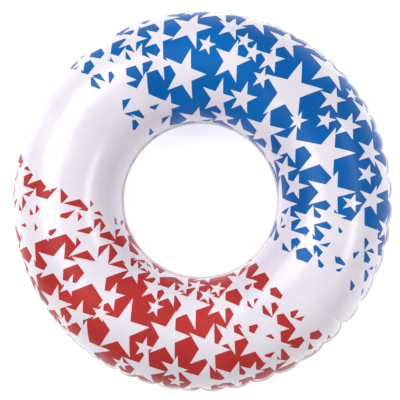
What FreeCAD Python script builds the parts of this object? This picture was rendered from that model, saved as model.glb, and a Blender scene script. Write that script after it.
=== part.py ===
"""An inflatable swim ring, blown up and lying flat on its back film.

The ring is two annular sheets of thin vinyl film, welded together round the outer and the inner edge, and
a push-in mouth valve in the back film.  The tube's section is a half circle above the seam plane; below it,
two quarter arcs meet a narrow flat band, where the ring's own weight presses it against the ground.

Frame: +Z is the ring's axis and points up, Z = 0 is the ground, and the origin is the centre of the
hole on the ground.  The valve sits on the +Y side, on the inner lower quarter of the tube.  Its pieces are
drawn in the valve's own frame, whose origin is on the film's outer face, with z out of the film, x along
the ring's X and y towards the hole's centre and up.  All sizes are in millimetres.
"""

import FreeCAD, Part
import math
import os
import Sketcher

V = FreeCAD.Vector

# Driving dimensions: alias, millimetres or degrees, what it is.
DIMENSIONS = [
    ("seam_outer_radius", 349.0, "outer face of the film at the outer seam"),
    ("seam_inner_radius", 145.5, "outer face of the film at the inner seam"),
    ("film_thickness", 0.3, "vinyl film"),
    ("rest_band", 12.0, "width of the flat band the ring rests on"),
    ("outer_margin", 4.0, "how far the outer weld stands out of the tube"),
    ("inner_margin", 3.0, "how far the inner weld stands into the hole"),
    ("weld_thickness", 0.6, "the two films' fused margins"),
    ("valve_tilt", 45.0, "valve axis below the seam plane, degrees"),
    ("disc_radius", 19.0, "valve base, welded on the film"),
    ("disc_thickness", 1.0, "valve base"),
    ("collar_radius", 12.5, "raised ring of the valve base, outside"),
    ("collar_wall", 1.5, "raised ring of the valve base"),
    ("collar_top", 2.0, "raised ring of the valve base, above the film"),
    ("collar_depth", 1.8, "raised ring of the valve base, below the film"),
    ("diaphragm_thickness", 0.6, "soft cone between base and stem"),
    ("stem_clearance", 0.3, "gap round the stem"),
    ("stem_radius", 6.0, "stem, outside, at its foot"),
    ("stem_rim_radius", 5.6, "stem, outside, at its rim"),
    ("stem_rim", 15.0, "rim of the stem, above the film"),
    ("stem_depth", 4.0, "foot of the stem, below the film"),
    ("rim_round", 0.6, "rounding of the stem's rim"),
    ("mouth_radius", 3.8, "bore that the stopper closes"),
    ("mouth_depth", 6.5, "length of that bore"),
    ("air_radius", 3.2, "air passage below the mouth"),
    ("seat_radius", 4.9, "pocket in the foot that holds the check valve's seat"),
    ("seat_hole", 2.6, "hole in the seat"),
    ("seat_thickness", 1.6, "seat"),
    ("seat_lip", 0.3, "raised lip that the flap closes on"),
    ("flap_radius", 4.2, "flap"),
    ("flap_thickness", 0.5, "flap"),
    ("flap_gap", 0.1, "flap below the lip"),
    ("flap_pin", 0.35, "radius of the flap's rolled hinge edge"),
    ("flap_pin_length", 2.4, "flap's rolled hinge edge"),
    ("hinge_reach", 9.0, "stopper hinge from the stem's axis"),
    ("hinge_rise", 0.2, "stopper hinge above the stem's rim"),
    ("knuckle_radius", 0.7, "rolled end of the strap"),
    ("strap_width", 3.4, "strap and the lug that it folds on"),
    ("strap_thickness", 0.8, "strap"),
    ("lug_reach", 8.0, "end of the stem's lug from the stem's axis"),
    ("lug_thickness", 1.5, "stem's lug"),
    ("lug_drop", 0.1, "top of the lug below the rim"),
    ("head_radius", 6.2, "stopper's head"),
    ("head_thickness", 1.5, "stopper's head"),
    ("head_round", 0.5, "rounding of the head's edge"),
    ("head_gap", 0.05, "head above the rim"),
    ("shank_radius", 3.7, "stopper's shank at the head"),
    ("shank_waist", 3.3, "shank at half its length"),
    ("shank_tip", 2.1, "shank at its tip"),
    ("shank_length", 5.5, "shank below the head"),
    ("tab_reach", 9.6, "end of the pull tab from the stopper's axis"),
    ("tab_width", 5.0, "pull tab"),
    ("tab_thickness", 1.0, "pull tab"),
    ("cutter_reach", 6.0, "how far a cylinder that cuts or trims a piece goes past it"),
]

# Sizes that follow from the driving ones, as expressions for the sketches.
TUBE = "((dims.seam_outer_radius - dims.seam_inner_radius) / 2)"
LOWER = f"({TUBE} - dims.rest_band / 2)"  # the lower arcs' radius, and the seam plane's height
INNER_SEAM = "dims.seam_inner_radius"
OUTER_SEAM = "dims.seam_outer_radius"
CENTRE_LINE = f"({INNER_SEAM} + {LOWER})"  # centre of the inner lower arc
FILM = "dims.film_thickness"
RIM = "dims.stem_rim"
COLLAR_HOLE = "(dims.collar_radius - dims.collar_wall)"
DIAPHRAGM_HOLE = "(dims.stem_radius + dims.stem_clearance)"
LIP = "(dims.seat_thickness + dims.seat_lip)"
FLAP_TOP = f"({LIP} + dims.flap_gap)"
HINGE_Z = f"({RIM} + dims.hinge_rise)"
HEAD = f"({RIM} + dims.head_gap)"
STRAP_TOP = f"({HINGE_Z} + dims.knuckle_radius)"
STRAP_BOTTOM = f"({STRAP_TOP} - dims.strap_thickness)"
KNUCKLE_START = (
    f"dims.hinge_reach - sqrt(dims.knuckle_radius ^ 2 - ({HINGE_Z} - {STRAP_BOTTOM}) ^ 2)"
)

THROUGH_FILM = ("-dims.cutter_reach", "dims.cutter_reach")  # a cutter's low and high ends at the film

doc = FreeCAD.newDocument("swim_ring")


def make_sheet():
    """The driving dimensions, one to a row."""
    sheet = doc.addObject("Spreadsheet::Sheet", "dims")
    for row, (alias, value, note) in enumerate(DIMENSIONS, start=1):
        sheet.set(f"A{row}", note)
        sheet.set(f"B{row}", str(value))
        sheet.setAlias(f"B{row}", alias)
    doc.recompute()
    return sheet


sheet = make_sheet()


def value(expression):
    """What an expression over the sheet comes to, in plain millimetres."""
    found = sheet.evalExpression(expression)
    return float(getattr(found, "Value", found))


def make_body(name):
    body = doc.addObject("PartDesign::Body", name)
    body.Label = name
    return body


def make_sketch(body, role, name):
    """A sketch on one of the body's own origin planes."""
    sketch = body.newObject("Sketcher::SketchObject", name)
    plane = next(f for f in body.Origin.OriginFeatures if f.Role == role)
    sketch.AttachmentSupport = (plane, [""])
    sketch.MapMode = "FlatFace"
    return sketch


def bind(sketch, kind, *places, expression):
    """Adds a dimension to the sketch and ties it to the sheet."""
    index = sketch.addConstraint(Sketcher.Constraint(kind, *places, value(expression)))
    sketch.setExpression(f"Constraints[{index}]", expression)


def draw_outline(sketch, points):
    """Draws a closed outline through points, which are (x, y) or (x, y, arc), all of them expressions.

    arc is (centre x, centre y, "left" or "right") for the stretch from that point to the next, and says
    which way it turns.
    """
    places = [V(value(p[0]), value(p[1]), 0) for p in points]
    ends = []  # for each edge, which of its vertices is its start and which its end
    for index, point in enumerate(points):
        start, end = places[index], places[(index + 1) % len(points)]
        if len(point) == 2:
            sketch.addGeometry(Part.LineSegment(start, end))
            ends.append((1, 2))
            continue
        centre_x, centre_y, turn = point[2]
        centre = V(value(centre_x), value(centre_y), 0)
        first, last = (start, end) if turn == "left" else (end, start)
        angles = [FreeCAD.Vector.getAngle(V(1, 0, 0), p - centre) * (1 if p.y >= centre.y else -1)
                  for p in (first, last)]
        if angles[1] <= angles[0]:
            angles[1] += 2 * math.pi
        circle = Part.Circle(centre, V(0, 0, 1), start.distanceToPoint(centre))
        sketch.addGeometry(Part.ArcOfCircle(circle, *angles))
        ends.append((1, 2) if turn == "left" else (2, 1))
    for index in range(len(points)):
        following = (index + 1) % len(points)
        sketch.addConstraint(
            Sketcher.Constraint("Coincident", index, ends[index][1], following, ends[following][0])
        )
    for index, point in enumerate(points):
        bind(sketch, "DistanceX", -1, 1, index, ends[index][0], expression=point[0])
        bind(sketch, "DistanceY", -1, 1, index, ends[index][0], expression=point[1])
        if len(point) == 3:
            chord = places[(index + 1) % len(points)] - places[index]
            if abs(chord.x) > abs(chord.y):
                bind(sketch, "DistanceY", -1, 1, index, 3, expression=point[2][1])
            else:
                bind(sketch, "DistanceX", -1, 1, index, 3, expression=point[2][0])


def revolve(body, points, name="section"):
    """Turns an outline in the body's XZ plane once round its Z axis."""
    sketch = make_sketch(body, "XZ_Plane", f"{body.Label}_{name}")
    draw_outline(sketch, points)
    turned = body.newObject("PartDesign::Revolution", f"{body.Label}_{name}_turned")
    turned.Profile = sketch
    turned.ReferenceAxis = (sketch, ["V_Axis"])
    turned.Angle = 360
    doc.recompute()
    return turned


def pad_across(body, points, width, name):
    """Adds an outline in the body's YZ plane, as wide as width, half on each side of the plane."""
    sketch = make_sketch(body, "YZ_Plane", f"{body.Label}_{name}")
    draw_outline(sketch, points)
    pad = body.newObject("PartDesign::Pad", f"{body.Label}_{name}_pad")
    pad.Profile = sketch
    pad.Midplane = True
    pad.setExpression("Length", width)
    doc.recompute()
    return pad


def place_in_valve_frame(piece, rise="0"):
    """Puts a piece that is drawn in the valve's frame where the valve is, rise above the film."""
    reach = f"({LOWER} + ({rise}))"
    piece.setExpression("Placement.Base.y", f"{CENTRE_LINE} - {reach} * cos(dims.valve_tilt * 1 deg)")
    piece.setExpression("Placement.Base.z", f"{LOWER} - {reach} * sin(dims.valve_tilt * 1 deg)")
    piece.Placement.Rotation = FreeCAD.Rotation(V(1, 0, 0), 90)
    piece.setExpression("Placement.Rotation.Angle", "(90 + dims.valve_tilt) * 1 deg")
    doc.recompute()
    return piece


def valve_cylinder(name, radius, low, high):
    """A cylinder on the valve's axis, from low to high above the film."""
    cylinder = doc.addObject("Part::Cylinder", name)
    cylinder.setExpression("Radius", radius)
    cylinder.setExpression("Height", f"{high} - ({low})")
    return place_in_valve_frame(cylinder, low)


def tube_torus(name, radius):
    """The whole torus that the tube's inner lower quarter is a part of, at another section radius."""
    torus = doc.addObject("Part::Torus", name)
    torus.setExpression("Radius1", CENTRE_LINE)
    torus.setExpression("Radius2", radius)
    torus.setExpression("Placement.Base.z", LOWER)
    return torus


def combine(kind, name, base, tool):
    """A Part::Cut, Part::Fuse or Part::Common of two objects."""
    made = doc.addObject(kind, name)
    made.Base, made.Tool = base, tool
    made.Label = name
    doc.recompute()
    return made


def make_front_film():
    """The upper sheet, a half circle over the seam plane."""
    body = make_body("front_film")
    middle = f"({INNER_SEAM} + {TUBE})"
    revolve(body, [
        (INNER_SEAM, LOWER, (middle, LOWER, "right")),
        (OUTER_SEAM, LOWER),
        (f"{OUTER_SEAM} - {FILM}", LOWER, (middle, LOWER, "left")),
        (f"{INNER_SEAM} + {FILM}", LOWER),
    ])
    return body


def make_back_film():
    """The lower sheet, flat where it rests, with the valve's hole."""
    body = make_body("back_film_sheet")
    inner, outer = CENTRE_LINE, f"({OUTER_SEAM} - {LOWER})"
    revolve(body, [
        (INNER_SEAM, LOWER, (inner, LOWER, "left")),
        (inner, "0"),
        (outer, "0", (outer, LOWER, "left")),
        (OUTER_SEAM, LOWER),
        (f"{OUTER_SEAM} - {FILM}", LOWER, (outer, LOWER, "right")),
        (outer, FILM),
        (inner, FILM, (inner, LOWER, "right")),
        (f"{INNER_SEAM} + {FILM}", LOWER),
    ])
    hole = valve_cylinder("valve_hole", "dims.collar_radius", *THROUGH_FILM)
    return combine("Part::Cut", "back_film", body, hole)


def make_seam(name, inner, outer):
    """The two films' margins, fused by the weld into one flat ring."""
    body = make_body(name)
    half = "dims.weld_thickness / 2"
    revolve(body, [
        (inner, f"{LOWER} - {half}"),
        (outer, f"{LOWER} - {half}"),
        (outer, f"{LOWER} + {half}"),
        (inner, f"{LOWER} + {half}"),
    ])
    return body


def make_valve_base():
    """A disc that follows the film round the valve, with a raised ring in the film's hole."""
    outside = tube_torus("disc_outside", f"{LOWER} + dims.disc_thickness")
    inside = tube_torus("disc_inside", LOWER)
    shell = combine("Part::Cut", "disc_shell", outside, inside)
    outline = valve_cylinder("disc_outline", "dims.disc_radius", *THROUGH_FILM)
    disc = combine("Part::Common", "disc", shell, outline)
    ring = make_body("collar")
    revolve(ring, [
        (COLLAR_HOLE, "-dims.collar_depth"),
        ("dims.collar_radius", "-dims.collar_depth"),
        ("dims.collar_radius", "dims.collar_top - dims.collar_wall / 2",
         (f"{COLLAR_HOLE} + dims.collar_wall / 2", "dims.collar_top - dims.collar_wall / 2", "left")),
        (COLLAR_HOLE, "dims.collar_top - dims.collar_wall / 2"),
    ])
    place_in_valve_frame(ring)
    whole = combine("Part::Fuse", "disc_and_collar", disc, ring)
    hole = valve_cylinder("collar_hole", COLLAR_HOLE, *THROUGH_FILM)
    return combine("Part::Cut", "valve_base", whole, hole)


def make_diaphragm():
    """The soft cone that lets the stem be pushed in."""
    body = make_body("valve_diaphragm")
    thickness = "dims.diaphragm_thickness"
    revolve(body, [
        (COLLAR_HOLE, "0"),
        (COLLAR_HOLE, thickness),
        (DIAPHRAGM_HOLE, "dims.collar_top"),
        (DIAPHRAGM_HOLE, f"dims.collar_top - {thickness}"),
    ])
    return place_in_valve_frame(body)


def make_stem():
    """The mouthpiece: a tapered tube with the lug that the stopper's strap folds on."""
    body = make_body("valve_stem")
    rim_edge = "(dims.stem_rim_radius - dims.rim_round)"
    mouth_end = f"{RIM} - dims.mouth_depth"
    revolve(body, [
        ("dims.mouth_radius", mouth_end),
        ("dims.mouth_radius", RIM),
        (rim_edge, RIM, (rim_edge, f"{RIM} - dims.rim_round", "right")),
        ("dims.stem_rim_radius", f"{RIM} - dims.rim_round"),
        ("dims.stem_radius", "-dims.stem_depth"),
        ("dims.seat_radius", "-dims.stem_depth"),
        ("dims.seat_radius", "0"),
        ("dims.air_radius", "0"),
        ("dims.air_radius", mouth_end),
    ])
    lug_top = f"{RIM} - dims.lug_drop"
    root = "(dims.mouth_radius + dims.stem_rim_radius) / 2"
    pad_across(body, [
        (root, f"{lug_top} - dims.lug_thickness * 2"),
        ("dims.lug_reach", f"{lug_top} - dims.lug_thickness"),
        ("dims.lug_reach", lug_top),
        (root, lug_top),
    ], "dims.strap_width", "lug")
    return place_in_valve_frame(body)


def make_check_seat():
    """The ring in the stem's foot that the flap closes on."""
    body = make_body("check_valve_seat")
    revolve(body, [
        ("dims.seat_hole", "0"),
        ("dims.seat_radius", "0"),
        ("dims.seat_radius", "-dims.seat_thickness"),
        ("dims.seat_hole + 3 * dims.seat_lip", "-dims.seat_thickness"),
        ("dims.seat_hole + 2 * dims.seat_lip", f"-{LIP}"),
        ("dims.seat_hole + dims.seat_lip", f"-{LIP}"),
        ("dims.seat_hole", "-dims.seat_thickness"),
    ])
    return place_in_valve_frame(body)


def make_flap():
    """The non-return flap, a disc with a rolled edge that it swings on."""
    body = make_body("check_valve_flap")
    revolve(body, [
        ("0", f"-{FLAP_TOP} - dims.flap_thickness"),
        ("dims.flap_radius", f"-{FLAP_TOP} - dims.flap_thickness"),
        ("dims.flap_radius", f"-{FLAP_TOP}"),
        ("0", f"-{FLAP_TOP}"),
    ])
    across, middle = "-dims.flap_radius", f"-{FLAP_TOP} - dims.flap_thickness / 2"
    edge = make_sketch(body, "YZ_Plane", "flap_pin_section")
    edge.addGeometry(Part.Circle(V(value(across), value(middle), 0), V(0, 0, 1), value("dims.flap_pin")))
    bind(edge, "DistanceX", -1, 1, 0, 3, expression=across)
    bind(edge, "DistanceY", -1, 1, 0, 3, expression=middle)
    bind(edge, "Radius", 0, expression="dims.flap_pin")
    pin = body.newObject("PartDesign::Pad", "flap_pin")
    pin.Profile = edge
    pin.Midplane = True
    pin.setExpression("Length", "dims.flap_pin_length")
    doc.recompute()
    return place_in_valve_frame(body)


def make_stopper():
    """The plug that closes the mouth, with a round head and a tab for the fingers."""
    body = make_body("stopper_plug")
    top, edge = f"({HEAD} + dims.head_thickness)", "(dims.head_radius - dims.head_round)"
    tip, waist = f"{HEAD} - dims.shank_length", f"{HEAD} - dims.shank_length / 2"
    revolve(body, [
        ("0", tip),
        ("dims.shank_tip", tip),
        ("dims.shank_tip + dims.head_round", f"{tip} + dims.head_round"),
        ("dims.shank_waist", waist),
        ("dims.shank_radius", HEAD),
        ("dims.head_radius", HEAD),
        ("dims.head_radius", f"{top} - dims.head_round",
         (edge, f"{top} - dims.head_round", "left")),
        (edge, top),
        ("0", top),
    ])
    root = f"-({edge} - dims.head_round)"
    pad_across(body, [
        (root, HEAD),
        (root, f"{HEAD} + dims.tab_thickness"),
        ("-dims.tab_reach + dims.tab_thickness / 2", f"{HEAD} + dims.tab_thickness",
         ("-dims.tab_reach + dims.tab_thickness / 2", f"{HEAD} + dims.tab_thickness / 2", "left")),
        ("-dims.tab_reach + dims.tab_thickness / 2", HEAD),
    ], "dims.tab_width", "tab")
    return place_in_valve_frame(body)


def make_strap():
    """The strap from the stopper's head to the stem's lug, with the rolled end that it turns on."""
    body = make_body("strap_blank")
    pad_across(body, [
        ("dims.head_radius - dims.strap_width / 4", STRAP_TOP),
        ("dims.hinge_reach", STRAP_TOP, ("dims.hinge_reach", HINGE_Z, "right")),
        (KNUCKLE_START, STRAP_BOTTOM),
        ("dims.head_radius - dims.strap_width / 4", STRAP_BOTTOM),
    ], "dims.strap_width", "strap")
    place_in_valve_frame(body)
    head = valve_cylinder("strap_end_cut", "dims.head_radius", RIM, f"{RIM} + dims.cutter_reach")
    return combine("Part::Cut", "stopper_strap", body, head)


PIECES = {
    "front_film": make_front_film(),
    "back_film": make_back_film(),
    "outer_seam": make_seam("outer_seam", OUTER_SEAM, f"{OUTER_SEAM} + dims.outer_margin"),
    "inner_seam": make_seam("inner_seam", f"{INNER_SEAM} - dims.inner_margin", INNER_SEAM),
    "valve_base": make_valve_base(),
    "valve_diaphragm": make_diaphragm(),
    "valve_stem": make_stem(),
    "check_valve_seat": make_check_seat(),
    "check_valve_flap": make_flap(),
    "stopper_plug": make_stopper(),
    "stopper_strap": make_strap(),
}

doc.recompute()
for item in doc.Objects:
    if {"Invalid", "Error"} & set(item.State):
        raise RuntimeError(f"{item.Label} failed: {item.State}")
os.makedirs("parts", exist_ok=True)
for node, piece in PIECES.items():
    shape = piece.Shape
    if shape.isNull() or not shape.isValid() or not shape.Solids:
        raise RuntimeError(f"{node} has no valid solid")
    shape.exportStep(f"parts/{node}.step")
    box = shape.optimalBoundingBox(False)
    print(f"{node:18s} {len(shape.Solids)} solid {shape.Volume:9.1f} mm3, z {box.ZMin:6.2f} to {box.ZMax:6.2f}")
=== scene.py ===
"""Inflatable swim ring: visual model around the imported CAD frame. Lengths are in metres."""

import math

import bpy
import numpy as np
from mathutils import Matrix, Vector
from mathutils.geometry import delaunay_2d_cdt


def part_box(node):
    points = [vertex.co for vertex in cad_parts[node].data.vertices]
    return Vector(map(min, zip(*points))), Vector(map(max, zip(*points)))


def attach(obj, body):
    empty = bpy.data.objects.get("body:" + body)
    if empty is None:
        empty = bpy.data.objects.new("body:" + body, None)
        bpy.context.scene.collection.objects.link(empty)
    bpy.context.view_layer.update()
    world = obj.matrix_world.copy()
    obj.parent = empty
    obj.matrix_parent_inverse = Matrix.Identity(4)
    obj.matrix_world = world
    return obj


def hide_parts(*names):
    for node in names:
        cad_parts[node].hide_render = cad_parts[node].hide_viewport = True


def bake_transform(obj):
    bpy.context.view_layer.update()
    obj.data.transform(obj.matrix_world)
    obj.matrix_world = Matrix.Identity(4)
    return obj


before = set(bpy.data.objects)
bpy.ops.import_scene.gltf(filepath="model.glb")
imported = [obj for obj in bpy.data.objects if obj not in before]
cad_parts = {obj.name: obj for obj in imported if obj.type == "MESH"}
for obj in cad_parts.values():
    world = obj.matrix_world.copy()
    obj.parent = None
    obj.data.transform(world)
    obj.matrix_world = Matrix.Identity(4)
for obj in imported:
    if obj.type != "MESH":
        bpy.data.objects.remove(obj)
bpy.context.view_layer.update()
MM = 0.001

# ---------------------------------------------------------------- sizes read from the frame


def radii(node):
    """Smallest and largest distance of a CAD node from the ring's axis."""
    points = np.array([v.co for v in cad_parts[node].data.vertices])
    distance = np.hypot(points[:, 0], points[:, 1])
    return float(distance.min()), float(distance.max())


FILM_INNER, FILM_OUTER = radii("front_film")
HOLE_RADIUS = radii("inner_seam")[0]
RIM_RADIUS = radii("outer_seam")[1]
SEAM_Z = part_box("front_film")[0].z
TOP_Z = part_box("front_film")[1].z
FRONT_RADIUS = TOP_Z - SEAM_Z
BACK_RADIUS = SEAM_Z
CENTRE_LINE = (FILM_INNER + FILM_OUTER) / 2
HALF_WIDTH = (FILM_OUTER - FILM_INNER) / 2
REST_HALF = HALF_WIDTH - BACK_RADIUS      # half the flat band that the ring rests on

# ---------------------------------------------------------------- sizes the frame doesn't give

# The cut film, between its welds.
FLAT_INNER = 143 * MM
FLAT_WIDTH = 310 * MM
FLAT_OUTER = FLAT_INNER + FLAT_WIDTH

# The valve's axis is 45 degrees below the seam plane, on the hole's side, as in the CAD.
TILT = math.radians(45)
VALVE_POINT = Vector((0, CENTRE_LINE - REST_HALF - BACK_RADIUS * math.cos(TILT),
                      SEAM_Z - BACK_RADIUS * math.sin(TILT)))
VALVE_OUT = Vector((0, -math.cos(TILT), -math.sin(TILT)))
FILM_HOLE = 11.8 * MM                     # the film's edge is inside the collar's wall, 11.0 to 12.5 mm
HOLE_DEPTH = 10 * MM                      # how far along the valve's axis the hole takes film away

# The valve's soft cone, along the middle of the CAD cone's thickness.
CONE_OUTER, CONE_INNER = 11.0 * MM, 6.25 * MM
CONE_START, CONE_END = 0.3 * MM, 1.7 * MM
CONE_RIPPLE, CONE_RIPPLES = 0.18 * MM, 2
CONE_RINGS, CONE_STEPS = 10, 72

# The welded margins.
WELD_HALF, WELD_EDGE = 0.3 * MM, 0.25 * MM   # half the thickness, and how far the edge is rounded
WELD_LAP = 0.8 * MM                       # how far a margin reaches under the film
WELD_STEPS = 1440

# ---------------------------------------------------------------- shape of the inflated film

# The outer weld is loosest at one side, where its pinches are widest apart and go in deepest.
LOOSEST = math.radians(-40)
PINCH_STEP, LOOSE_STEP = (2.8, 4.6), 5.0  # degrees between pinches, and what the loosest side adds
PINCH_DEEP, LOOSE_DEEP = 2.0, 7.6         # mm a pinch goes in, and what the loosest side adds
DEPTH_SPREAD = (0.55, 1.25)
CREASE_RUN = (0.12, 0.42)                 # how far a crease runs in, as a share of the film's width
TIGHT_RUN, LOOSE_RUN = 0.75, 0.35         # its factor, and what the loosest side adds
WELD_LEAN = 1.1                           # mm the weld leans up or down at a pinch, at most
CREASE_FADE = 1.8                         # how a crease gets shallower inwards
ARCH_ROUND = 0.62                         # how round the film is between two pinches
LEAN_FADE = 9                             # how soon the weld's lean is lost inwards
SWELL = 0.0009                            # slow unevenness of the tube, as two waves round it
SLOW_WAVE, QUICK_WAVE = 3, 7
SLOW_PHASE, QUICK_PHASE = 1.3, 0.4
FLAT_BEND = 8                             # how sharply the film turns into the band it rests on
NORMAL_STEP = 0.0025
RNG = np.random.default_rng(12)


def looseness(angle):
    """How loose the outer weld is at an angle round the ring, from 0 to 1."""
    return 0.5 + 0.5 * np.cos(angle - LOOSEST)


def pinch_points(rng):
    """Where the outer weld is pinched, how deep, how far creases run in on each film, and the weld's lean."""
    angles = [0.0]
    while angles[-1] < 2 * math.pi:
        step = rng.uniform(*PINCH_STEP) + LOOSE_STEP * looseness(angles[-1]) ** 2
        angles.append(angles[-1] + math.radians(step))
    angles = np.array(angles[:-1]) * 2 * math.pi / angles[-1]
    loose = looseness(angles)
    depth = (PINCH_DEEP + LOOSE_DEEP * loose ** 1.5) * rng.uniform(*DEPTH_SPREAD, len(angles)) * MM
    reach = rng.uniform(*CREASE_RUN, (2, len(angles))) * (TIGHT_RUN + LOOSE_RUN * loose)
    lean = rng.uniform(-1, 1, len(angles)) * WELD_LEAN * MM
    return angles, depth, reach, lean


PINCHES, PINCH_DEPTH, CREASE_REACH, PINCH_LEAN = pinch_points(RNG)


def between_pinches(angle):
    """The pinch before each angle, the one after it, and the share of the way between them."""
    angle = np.mod(angle, 2 * math.pi)
    before = np.searchsorted(PINCHES, angle, side="right") - 1
    after = (before + 1) % len(PINCHES)
    span = np.mod(PINCHES[after] - PINCHES[before], 2 * math.pi)
    return before, after, np.clip((angle - PINCHES[before]) / span, 0, 1)


def pucker(angle, share, side):
    """How far the film is pulled in at share of its width, 0 at the inner weld and 1 at the outer."""
    before, after, way = between_pinches(angle)

    def creased(pinch):
        reach = CREASE_REACH[side][pinch]
        return PINCH_DEPTH[pinch] * np.clip((share - 1 + reach) / reach, 0, 1) ** CREASE_FADE
    arch = (4 * way * (1 - way)) ** ARCH_ROUND
    return (creased(before) * (1 - way) + creased(after) * way) * (1 - arch)


def weld_wave(angle):
    """The outer weld's height above the seam plane, eased from each pinch's lean to the next one's."""
    before, after, way = between_pinches(angle)
    ease = way * way * (3 - 2 * way)
    return PINCH_LEAN[before] * (1 - ease) + PINCH_LEAN[after] * ease


def film_point(angle, share, side):
    """Points of the inflated film. side is 0 for the front film and 1 for the back film."""
    arc = math.pi * share
    pulled = pucker(angle, share, side)
    slow = np.sin(SLOW_WAVE * angle + SLOW_PHASE + side)
    out = SWELL * np.sin(arc) ** 2 * slow * np.sin(QUICK_WAVE * angle + QUICK_PHASE) - pulled
    if side == 0:
        radius = CENTRE_LINE - HALF_WIDTH * np.cos(arc)
        height = SEAM_Z + FRONT_RADIUS * np.sin(arc)
        lift = 1.0
    else:
        flat = REST_HALF * np.clip(np.cos(arc) * FLAT_BEND, -1, 1)
        radius = CENTRE_LINE - BACK_RADIUS * np.cos(arc) - flat
        height = SEAM_Z - BACK_RADIUS * np.sin(arc)
        lift = -1.0
        out = np.minimum(out, 0)
    radius = radius - out * np.cos(arc)
    height = height + lift * out * np.sin(arc) + weld_wave(angle) * share ** LEAN_FADE
    return np.stack([radius * np.cos(angle), radius * np.sin(angle), height], axis=-1)


def film_normals(angle, share, side):
    """Outward normals of the film, from points a small step away."""
    low, high = np.clip(share - NORMAL_STEP, 0, 1), np.clip(share + NORMAL_STEP, 0, 1)
    across = film_point(angle, high, side) - film_point(angle, low, side)
    along = film_point(angle + NORMAL_STEP, share, side) - film_point(angle - NORMAL_STEP, share, side)
    normal = np.cross(along, across) if side else np.cross(across, along)
    return normal / np.linalg.norm(normal, axis=1, keepdims=True)


# ---------------------------------------------------------------- the print: plain white stars in two inks

STAR_POINTS = 5
STAR_NOTCH = 0.382                        # inner radius of a regular five-pointed star
STAR_SIZES = ((62, 14), (45, 150), (32, 600), (21, 500))   # radius in mm, and tries
SIZE_SPREAD = (0.88, 1.12)
PAST_RIM = 15 * MM                        # how far past the outer weld a star's centre may be
# Where each ink is dense, in degrees round the ring: its start at the rim, at the hole, and its end.
INK_FIELDS = ((2, 2, 100), (192, 226, 280))
FIELD_GAPS = (0.74, 0.66)                 # each field's star spacing, as a share of the two radii
HOLE_GAP, HOLE_BAND = 0.80, 0.40          # its factor at the hole, fading out over this share of the film
INK_END = math.radians(36)                # the stretch past each end of a field where the ink breaks up
END_GAP, END_RAMP = 0.44, 0.5             # its star spacing, reached over this share of the stretch
END_SMALL, SMALLEST_IN_ENDS = 0.3, 24 * MM   # past this share of that, stars smaller than this are left out
END_STAR, END_STEP = 44 * MM, 37 * MM     # the row of stars that closes each end of a field
END_SWAY = 0.03                           # how far, in radians, that row's stars are off their line
FIELD_EDGE = math.radians(1.5)            # a small piece this near the stretch's own end isn't printed
LEAST_PIECE = 55 * MM * MM                # smaller bits of ink aren't printed
LARGE_PIECE = 2500 * MM * MM              # larger ones are, even where the stretch's end cuts them
EDGE_STEP = 4 * MM
GRID_ROUND, GRID_ACROSS = 720, 64
MERGE_DISTANCE = 1e-7
PRINT_RNG = np.random.default_rng(11)


def field_start(field, away):
    """The angle at which an ink field gets dense, at a distance from the ring's axis on the cut film."""
    at_rim, at_hole, _ = np.radians(field)
    return at_hole + (at_rim - at_hole) * (away - FLAT_INNER) / FLAT_WIDTH


def beyond_core(angle, away, field):
    """How far round a point lies past the dense part of an ink field. It is below 0 inside that part."""
    start, end = field_start(field, away), math.radians(field[2])
    off = np.abs(np.mod(angle - (start + end) / 2 + math.pi, 2 * math.pi) - math.pi)
    return off - (end - start) / 2


def scatter_stars(rng, field, field_gap):
    """Stars thrown on one ink field, large ones first: (x, y, radius) in the plane of the cut film."""
    end = math.radians(field[2])
    stars = []
    for away in np.arange(FLAT_INNER, FLAT_OUTER + END_STEP, END_STEP):
        for close in (field_start(field, away) - INK_END, end + INK_END):
            angle = close + rng.uniform(-END_SWAY, END_SWAY)
            stars.append((away * math.cos(angle), away * math.sin(angle), END_STAR))
    for size, tries in STAR_SIZES:
        for _ in range(tries):
            angle = rng.uniform(math.radians(min(field)) - INK_END, end + INK_END)
            away = math.sqrt(rng.uniform(FLAT_INNER ** 2, (FLAT_OUTER + PAST_RIM) ** 2))
            radius = size * MM * rng.uniform(*SIZE_SPREAD)
            beyond = max(0, beyond_core(angle, away, field)) / (INK_END * END_RAMP)
            near_hole = max(0, 1 - (away - FLAT_INNER) / FLAT_WIDTH / HOLE_BAND)
            gap = field_gap * (1 - (1 - HOLE_GAP) * near_hole)
            gap += (END_GAP - gap) * min(1, beyond)
            if beyond > 1 / END_RAMP or beyond > END_SMALL and radius < SMALLEST_IN_ENDS:
                continue
            x, y = away * math.cos(angle), away * math.sin(angle)
            if all(math.hypot(x - sx, y - sy) > gap * (radius + sr) for sx, sy, sr in stars):
                stars.append((x, y, radius))
    return stars


def star_outline(star):
    """Corners of a star, in order."""
    x, y, radius = star
    corners = []
    for k in range(2 * STAR_POINTS):
        reach = radius * (STAR_NOTCH if k % 2 else 1)
        turn = k * math.pi / STAR_POINTS
        corners.append((x + reach * math.cos(turn), y + reach * math.sin(turn)))
    return corners


def inside_star(points, star):
    """Which points lie in a star: each is turned to the wedge beside the nearest tip."""
    x, y, radius = star
    dx, dy = points[:, 0] - x, points[:, 1] - y
    half = math.pi / STAR_POINTS
    turn = np.abs(np.mod(np.arctan2(dy, dx) + half, 2 * half) - half)
    reach = np.hypot(dx, dy)
    px, py = reach * np.cos(turn), reach * np.sin(turn)
    nx, ny = radius * STAR_NOTCH * math.cos(half), radius * STAR_NOTCH * math.sin(half)
    return (nx - radius) * py - ny * (px - radius) > 0


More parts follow.
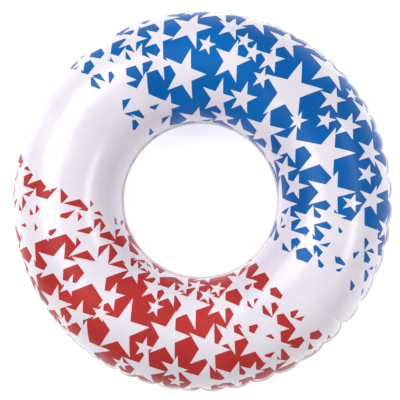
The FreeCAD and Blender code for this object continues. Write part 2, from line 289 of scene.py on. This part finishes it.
def face_neighbours(faces, inked):
    """For each face of one ink, the faces of that ink across its edges."""
    by_edge = {}
    for index in np.flatnonzero(inked):
        face = faces[index]
        for a, b in zip(face, np.roll(face, -1)):
            by_edge.setdefault((min(a, b), max(a, b)), []).append(index)
    neighbours = {}
    for pair in by_edge.values():
        if len(pair) == 2:
            neighbours.setdefault(pair[0], []).append(pair[1])
            neighbours.setdefault(pair[1], []).append(pair[0])
    return neighbours


def ink_pieces(faces, inked):
    """Numbers the connected pieces of one ink. Faces without ink get -1."""
    neighbours = face_neighbours(faces, inked)
    piece = np.full(len(faces), -1)
    count = 0
    for start in np.flatnonzero(inked):
        if piece[start] >= 0:
            continue
        todo = [start]
        piece[start] = count
        while todo:
            for other in neighbours.get(todo.pop(), ()):
                if piece[other] < 0:
                    piece[other] = count
                    todo.append(other)
        count += 1
    return piece


def film_grid():
    """Points all over the cut film, every other row shifted, and the edges of its two rims."""
    points, edges = [], []
    for row in range(GRID_ACROSS + 1):
        away = FLAT_INNER + FLAT_WIDTH * row / GRID_ACROSS
        shift = 0.5 if row % 2 else 0
        ring = len(points)
        for column in range(GRID_ROUND):
            angle = 2 * math.pi * (column + shift) / GRID_ROUND
            points.append(Vector((away * math.cos(angle), away * math.sin(angle))))
        if row in (0, GRID_ACROSS):
            edges += [(ring + k, ring + (k + 1) % GRID_ROUND) for k in range(GRID_ROUND)]
    return points, edges


def add_outline(star, points, edges):
    """Adds a star's edges, in short steps that can bend with the film."""
    outline = star_outline(star)
    start = len(points)
    for (ax, ay), (bx, by) in zip(outline, outline[1:] + outline[:1]):
        steps = max(1, math.ceil(math.hypot(bx - ax, by - ay) / EDGE_STEP))
        for k in range(steps):
            points.append(Vector((ax + (bx - ax) * k / steps, ay + (by - ay) * k / steps)))
    size = len(points) - start
    edges += [(start + k, start + (k + 1) % size) for k in range(size)]


def kept_ink(faces, area, inked, beyond):
    """Which connected pieces of one ink are printed, said for each inked face."""
    piece = ink_pieces(faces, inked)
    sizes = np.bincount(piece[inked], weights=area[inked])
    farthest = np.full(len(sizes), -math.pi)
    np.maximum.at(farthest, piece[inked], beyond[inked])
    whole = (farthest < INK_END - FIELD_EDGE) | (sizes > LARGE_PIECE)
    kept = (sizes > LEAST_PIECE) & whole
    return kept[piece[inked]]


def film_pattern():
    """The cut film as triangles along the stars' edges, with 0 for bare film, 1 for blue and 2 for red."""
    points, edges = film_grid()
    fields = [scatter_stars(PRINT_RNG, field, gap) for field, gap in zip(INK_FIELDS, FIELD_GAPS)]
    for star in fields[0] + fields[1]:
        add_outline(star, points, edges)
    flat, _, faces, *_ = delaunay_2d_cdt(points, edges, [], 0, MERGE_DISTANCE)
    flat = np.array([tuple(p) for p in flat])
    faces = np.array(faces)
    centre = flat[faces].mean(axis=1)
    away = np.hypot(centre[:, 0], centre[:, 1])
    on_film = (away > FLAT_INNER) & (away < FLAT_OUTER * math.cos(math.pi / GRID_ROUND))
    faces, centre, away = faces[on_film], centre[on_film], away[on_film]
    angle = np.arctan2(centre[:, 1], centre[:, 0])
    a, b, c = (flat[faces[:, k]] for k in range(3))
    ab, ac = b - a, c - a
    area = np.abs(0.5 * (ab[:, 0] * ac[:, 1] - ab[:, 1] * ac[:, 0]))
    ink = np.zeros(len(faces), int)
    for number, (field, stars) in enumerate(zip(INK_FIELDS, fields), start=1):
        beyond = beyond_core(angle, away, field)
        inked = beyond < INK_END
        for star in stars:
            inked &= ~inside_star(centre, star)
        ink[inked] = np.where(kept_ink(faces, area, inked, beyond), number, ink[inked])
    return flat, faces, ink


# ---------------------------------------------------------------- meshes


def new_piece(name, points, faces, node):
    """A smooth mesh object that stands for a CAD node, whose own part is hidden."""
    mesh = bpy.data.meshes.new(name)
    mesh.from_pydata([tuple(p) for p in points], [], [tuple(int(i) for i in f) for f in faces])
    mesh.update()
    mesh.polygons.foreach_set("use_smooth", [True] * len(mesh.polygons))
    piece = bpy.data.objects.new(name, mesh)
    bpy.context.scene.collection.objects.link(piece)
    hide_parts(node)
    return piece


def around_valve(points):
    """Each point's height along the valve's axis, and the vector from that axis to it."""
    offset = points - np.array(VALVE_POINT)
    along = offset @ np.array(VALVE_OUT)
    return along, offset - along[:, None] * np.array(VALVE_OUT)


def faces_out(points, faces):
    """Which faces turn the same way as the valve's axis."""
    a, b, c = (points[faces[:, k]] for k in range(3))
    return np.cross(b - a, c - a) @ np.array(VALVE_OUT) > 0


def open_valve_hole(points, faces):
    """Says which faces the valve's hole takes, and moves the edge of the rest onto the hole's circle."""
    along, across = around_valve(points[faces].mean(axis=1))
    taken = (np.linalg.norm(across, axis=1) < FILM_HOLE) & (np.abs(along) < HOLE_DEPTH)
    edge = np.intersect1d(faces[taken], faces[~taken])
    before = faces_out(points, faces)
    across = around_valve(points[edge])[1]
    points[edge] += across * (FILM_HOLE / np.linalg.norm(across, axis=1, keepdims=True) - 1)
    # Slivers that the move folds over go too.
    return taken | (faces_out(points, faces) != before)


def make_film(name, node, side, pattern, materials):
    """One printed film, inflated from the cut pattern."""
    flat, faces, ink = pattern
    angle = np.arctan2(flat[:, 1], flat[:, 0])
    share = np.clip((np.hypot(flat[:, 0], flat[:, 1]) - FLAT_INNER) / FLAT_WIDTH, 0, 1)
    points = film_point(angle, share, side)
    normals = film_normals(angle, share, side)
    if side:
        taken = open_valve_hole(points, faces)
        faces, ink = faces[~taken], ink[~taken]
        faces = faces[:, ::-1]
    used, faces = np.unique(faces, return_inverse=True)
    faces = faces.reshape(-1, 3)
    piece = new_piece(name, points[used], faces, node)
    for material in materials:
        piece.data.materials.append(material)
    piece.data.polygons.foreach_set("material_index", ink.astype(np.int32))
    piece.data.normals_split_custom_set_from_vertices(normals[used])
    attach(piece, "ring")


def make_weld(name, node, inner, outer, wave, material):
    """A fused margin: a thin rounded strip along a weld, between two radii given by angle."""
    angle = 2 * math.pi * np.arange(WELD_STEPS) / WELD_STEPS
    low, high, lift = inner(angle), outer(angle), wave(angle)
    section = (
        (low, -WELD_HALF),
        (high - WELD_EDGE, -WELD_HALF),
        (high, 0),
        (high - WELD_EDGE, WELD_HALF),
        (low, WELD_HALF),
    )
    rings = []
    for radius, height in section:
        ring = [radius * np.cos(angle), radius * np.sin(angle), SEAM_Z + lift + height]
        rings.append(np.stack(ring, axis=-1))
    count = len(section)
    points = np.stack(rings, axis=1).reshape(-1, 3)
    faces = []
    for k in range(WELD_STEPS):
        here, there = k * count, (k + 1) % WELD_STEPS * count
        for side in range(count):
            other = (side + 1) % count
            faces.append((here + side, there + side, there + other, here + other))
    piece = new_piece(name, points, faces, node)
    piece.data.materials.append(material)
    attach(piece, "ring")


def rim(angle):
    """Radius of the film at the outer weld."""
    return FILM_OUTER - pucker(angle, np.ones_like(angle), 0)


def make_outer_weld(material):
    """The puckered margin: it starts under the film's edge and follows it."""
    make_weld("outer_weld", "outer_seam", lambda angle: rim(angle) - WELD_LAP,
              lambda angle: rim(angle) + RIM_RADIUS - FILM_OUTER, weld_wave, material)


def make_inner_weld(material):
    """The taut margin in the hole, a plain ring."""
    make_weld("inner_weld", "inner_seam", lambda angle: np.full_like(angle, HOLE_RADIUS),
              lambda angle: np.full_like(angle, FILM_INNER + WELD_LAP), np.zeros_like, material)


def make_diaphragm(material):
    """The soft cone of the valve. It follows the ring at its edge and the mouthpiece at its middle."""
    side = Vector((1, 0, 0))
    up = VALVE_OUT.cross(side)
    points, faces = [], []
    for ring in range(CONE_RINGS + 1):
        way = ring / CONE_RINGS
        reach = CONE_OUTER + (CONE_INNER - CONE_OUTER) * way
        ripple = CONE_RIPPLE * math.sin(way * 2 * CONE_RIPPLES * math.pi)
        height = CONE_START + (CONE_END - CONE_START) * way + ripple
        for step in range(CONE_STEPS):
            turn = 2 * math.pi * step / CONE_STEPS
            points.append(VALVE_POINT + VALVE_OUT * height
                          + (side * math.cos(turn) + up * math.sin(turn)) * reach)
    for ring in range(CONE_RINGS):
        for step in range(CONE_STEPS):
            after = (step + 1) % CONE_STEPS
            low, high = ring * CONE_STEPS, (ring + 1) * CONE_STEPS
            faces.append((low + step, low + after, high + after, high + step))
    piece = new_piece("valve_cone", points, faces, "valve_diaphragm")
    piece.data.materials.append(material)
    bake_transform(piece)


# ---------------------------------------------------------------- materials

TINT_FROM, TINT_TO = 0.32, 0.66           # the noise values where the dark and the light colour are full
GLOSS_FROM, GLOSS_TO = 0.75, 1.3          # how far the roughness drifts, as a share of it
GLOSS_GRAIN = 4                           # how much finer than the colour's patches that drift is
BUMP_HEIGHT = 0.6 * MM
VINYL_IOR = 1.36
COAT_ROUGHNESS = 0.20


def vinyl(name, light, dark, roughness, coat=0.3, level=0.5, patch=9, grain=420, relief=0.12, clear=0.0):
    """Soft vinyl: colour that drifts in soft patches, and a fine unevenness in the gloss and the surface."""
    material = bpy.data.materials.new(name)
    material.use_nodes = True
    nodes, links = material.node_tree.nodes, material.node_tree.links
    shader = nodes["Principled BSDF"]
    place = nodes.new("ShaderNodeTexCoord")

    def noise(scale, detail):
        texture = nodes.new("ShaderNodeTexNoise")
        texture.inputs["Scale"].default_value = scale
        texture.inputs["Detail"].default_value = detail
        links.new(place.outputs["Object"], texture.inputs["Vector"])
        return texture.outputs["Fac"]
    tint = nodes.new("ShaderNodeValToRGB")
    tint.color_ramp.elements[0].position = TINT_FROM
    tint.color_ramp.elements[0].color = (*dark, 1)
    tint.color_ramp.elements[1].position = TINT_TO
    tint.color_ramp.elements[1].color = (*light, 1)
    links.new(noise(patch, 3), tint.inputs["Fac"])
    links.new(tint.outputs["Color"], shader.inputs["Base Color"])
    gloss = nodes.new("ShaderNodeMapRange")
    gloss.inputs["To Min"].default_value = roughness * GLOSS_FROM
    gloss.inputs["To Max"].default_value = roughness * GLOSS_TO
    links.new(noise(patch * GLOSS_GRAIN, 4), gloss.inputs["Value"])
    links.new(gloss.outputs["Result"], shader.inputs["Roughness"])
    bump = nodes.new("ShaderNodeBump")
    bump.inputs["Strength"].default_value = relief
    bump.inputs["Distance"].default_value = BUMP_HEIGHT
    links.new(noise(grain, 5), bump.inputs["Height"])
    links.new(bump.outputs["Normal"], shader.inputs["Normal"])
    shader.inputs["IOR"].default_value = VINYL_IOR
    shader.inputs["Specular IOR Level"].default_value = level
    shader.inputs["Coat Weight"].default_value = coat
    shader.inputs["Coat Roughness"].default_value = COAT_ROUGHNESS
    shader.inputs["Transmission Weight"].default_value = clear
    return material


BARE = vinyl("bare_film", (0.81, 0.765, 0.83), (0.72, 0.675, 0.75), 0.30, coat=0.6)
BLUE = vinyl("blue_ink", (0.0, 0.135, 0.46), (0.0, 0.095, 0.35), 0.34, coat=0.04, level=0.22)
RED = vinyl("red_ink", (0.50, 0.036, 0.032), (0.39, 0.024, 0.022), 0.34, coat=0.04, level=0.22)
WELD = vinyl("weld", (0.93, 0.91, 0.94), (0.86, 0.83, 0.88), 0.30, grain=900, relief=0.35, clear=0.55)
MOULDED = vinyl("moulded_vinyl", (0.87, 0.88, 0.90), (0.78, 0.79, 0.83), 0.34,
                coat=0.2, patch=60, grain=1600)
CLEAR = vinyl("clear_vinyl", (0.90, 0.93, 0.95), (0.82, 0.87, 0.90), 0.20,
              patch=60, grain=1600, clear=0.55)

# ---------------------------------------------------------------- the ring

PATTERN = film_pattern()
make_film("front_film_printed", "front_film", 0, PATTERN, (BARE, BLUE, RED))
make_film("back_film_printed", "back_film", 1, PATTERN, (BARE, BLUE, RED))
make_outer_weld(WELD)
make_inner_weld(WELD)
make_diaphragm(MOULDED)

FINISHES = {
    "valve_base": MOULDED,
    "valve_stem": MOULDED,
    "check_valve_seat": MOULDED,
    "check_valve_flap": CLEAR,
    "stopper_plug": MOULDED,
    "stopper_strap": MOULDED,
}
for node, material in FINISHES.items():
    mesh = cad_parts[node].data
    mesh.materials.clear()
    mesh.materials.append(material)

# ---------------------------------------------------------------- floor, light and camera

TARGET = Vector((0, 0, SEAM_Z))
FLOOR_HALF = 40.0
FLOOR_DROP = 0.4 * MM                     # below the ring, so that the two don't share a plane
FLOOR_GLOW = 0.42
WORLD_LIGHT = 0.31
SENSOR_WIDTH, FOCAL_LENGTH = 36, 97       # mm
CAMERA_DISTANCE = 2.0
OFF_AXIS = math.radians(5)                # the camera's angle off the ring's axis
LEAN_RIGHT, LEAN_DOWN = 0.89, 0.45        # the way it is off, along +X and -Y


def make_floor():
    """A plain pale floor."""
    mesh = bpy.data.meshes.new("floor")
    corners = [(x * FLOOR_HALF, y * FLOOR_HALF, 0) for x, y in ((-1, -1), (1, -1), (1, 1), (-1, 1))]
    mesh.from_pydata(corners, [], [(0, 1, 2, 3)])
    material = bpy.data.materials.new("floor_paint")
    material.use_nodes = True
    shader = material.node_tree.nodes["Principled BSDF"]
    shader.inputs["Base Color"].default_value = (0.95, 0.95, 0.95, 1)
    shader.inputs["Roughness"].default_value = 0.9
    shader.inputs["Emission Color"].default_value = (1, 1, 1, 1)
    shader.inputs["Emission Strength"].default_value = FLOOR_GLOW
    mesh.materials.append(material)
    floor = bpy.data.objects.new("floor", mesh)
    floor.location.z = -FLOOR_DROP
    bpy.context.scene.collection.objects.link(floor)


def aim(thing, target):
    """Turns a light or camera towards a point, keeping +Y up in its view."""
    back = (thing.location - target).normalized()
    right = Vector((0, 1, 0)).cross(back).normalized()
    up = back.cross(right)
    rotation = thing.rotation_euler.to_matrix()
    for row in range(3):
        rotation[row] = (right[row], up[row], back[row])
    thing.rotation_euler = rotation.to_euler()


def make_light(name, place, size, power):
    """A large soft light aimed at the ring."""
    lamp = bpy.data.lights.new(name, "AREA")
    lamp.shape = "RECTANGLE"
    lamp.size, lamp.size_y = size
    lamp.energy = power
    light = bpy.data.objects.new(name, lamp)
    light.location = place
    bpy.context.scene.collection.objects.link(light)
    aim(light, TARGET)


def make_world():
    """Even white light from all round."""
    world = bpy.data.worlds.new("studio")
    world.use_nodes = True
    background = world.node_tree.nodes["Background"]
    background.inputs["Color"].default_value = (1, 1, 1, 1)
    background.inputs["Strength"].default_value = WORLD_LIGHT
    bpy.context.scene.world = world


def make_camera():
    """Looks down on the ring, a few degrees off its axis."""
    lens = bpy.data.cameras.new("camera")
    lens.sensor_width = SENSOR_WIDTH
    lens.lens = FOCAL_LENGTH
    camera = bpy.data.objects.new("camera", lens)
    off = math.sin(OFF_AXIS)
    direction = Vector((LEAN_RIGHT * off, -LEAN_DOWN * off, math.cos(OFF_AXIS)))
    camera.location = TARGET + CAMERA_DISTANCE * direction
    bpy.context.scene.collection.objects.link(camera)
    aim(camera, TARGET)
    bpy.context.scene.camera = camera


make_floor()
make_light("left_softbox", place=(-1.25, 0.5, 2.0), size=(1.5, 2.2), power=44)
make_light("right_softbox", place=(1.6, 0.1, 1.6), size=(0.45, 1.8), power=18)
make_world()
bpy.context.scene.view_settings.view_transform = "Standard"
make_camera()
